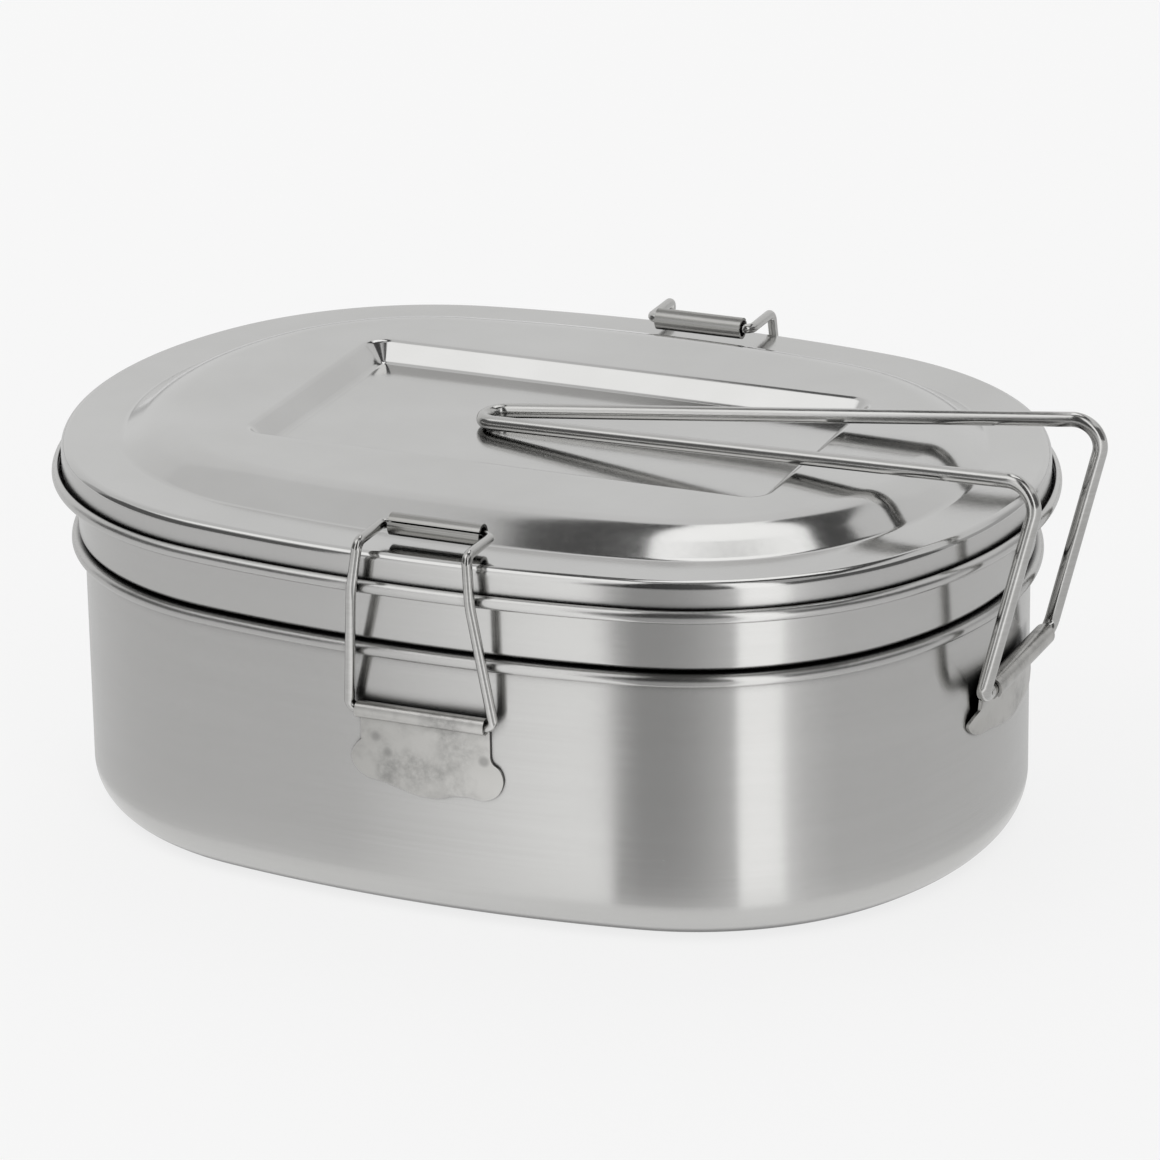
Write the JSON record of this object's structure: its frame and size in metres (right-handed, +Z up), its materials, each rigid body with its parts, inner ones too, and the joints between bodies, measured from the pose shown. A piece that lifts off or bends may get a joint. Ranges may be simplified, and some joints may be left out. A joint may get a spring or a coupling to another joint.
{
  "type": "lunch box",
  "caption": "Oval stainless lunch box with a nesting tray, a cap lid, wire side clips and a folding wire handle.",
  "frame": {"origin": "middle of the base, on the table", "axes": "+Z up, +X along the length towards the handle, -Y towards the front clip"},
  "size_m": [0.1981, 0.1488, 0.0813],
  "materials": {
    "satin_sheet": "satin, fine brushing round the wall",
    "polished_sheet": "bright polished",
    "bracket_sheet": "dull, with weld marks",
    "wire": "bright drawn wire",
    "roller_sheet": "satin"
  },
  "bodies": {
    "box": {"container": "satin_sheet", "front_clip_bracket": "bracket_sheet", "back_clip_bracket": "bracket_sheet", "handle_bracket": "bracket_sheet"},
    "tray": {"tray": "satin_sheet"},
    "lid": {"lid": "polished_sheet"},
    "front_clip": {"front_clip_wire": "wire"},
    "back_clip": {"back_clip_wire": "wire"},
    "front_roller": {"front_clip_roller": "roller_sheet"},
    "back_roller": {"back_clip_roller": "roller_sheet"},
    "handle": {"handle_wire": "wire"}
  },
  "joints": [
    {"name": "handle_swing", "type": "hinge", "parent": "box", "child": "handle", "pos_m": [0.09208, 0, 0.0384], "axis": [0, 1, 0], "range_deg": [0, 135]},
    {"name": "lid_lift", "type": "slide", "parent": "box", "child": "lid", "axis": [0, 0, 1], "range_m": [0, 0.0124]},
    {"name": "tray_lift", "type": "slide", "parent": "box", "child": "tray", "axis": [0, 0, 1], "range_m": [0, 0.00471]},
    {"name": "front_clip_swing", "type": "hinge", "parent": "box", "child": "front_clip", "pos_m": [0.0032, -0.06813, 0.04], "axis": [1, 0, 0], "range_deg": [0, 165]},
    {"name": "back_clip_swing", "type": "hinge", "parent": "box", "child": "back_clip", "pos_m": [0.0032, 0.06813, 0.04], "axis": [-1, 0, 0], "range_deg": [0, 165]},
    {"name": "front_roller_spin", "type": "hinge", "parent": "front_clip", "child": "front_roller", "pos_m": [0.0044, -0.06205, 0.0739], "axis": [1, 0, 0], "continuous": true},
    {"name": "back_roller_spin", "type": "hinge", "parent": "back_clip", "child": "back_roller", "pos_m": [0.0044, 0.06205, 0.0739], "axis": [1, 0, 0], "continuous": true}
  ],
  "couplings": [
    {"joint": "lid_lift", "follows": "handle_swing", "m_per_rad": 0.0052627},
    {"joint": "tray_lift", "follows": "handle_swing", "m_per_rad": 0.0019998},
    {"joint": "front_clip_swing", "follows": "handle_swing", "ratio": 1.2222},
    {"joint": "back_clip_swing", "follows": "handle_swing", "ratio": 1.2222}
  ]
}
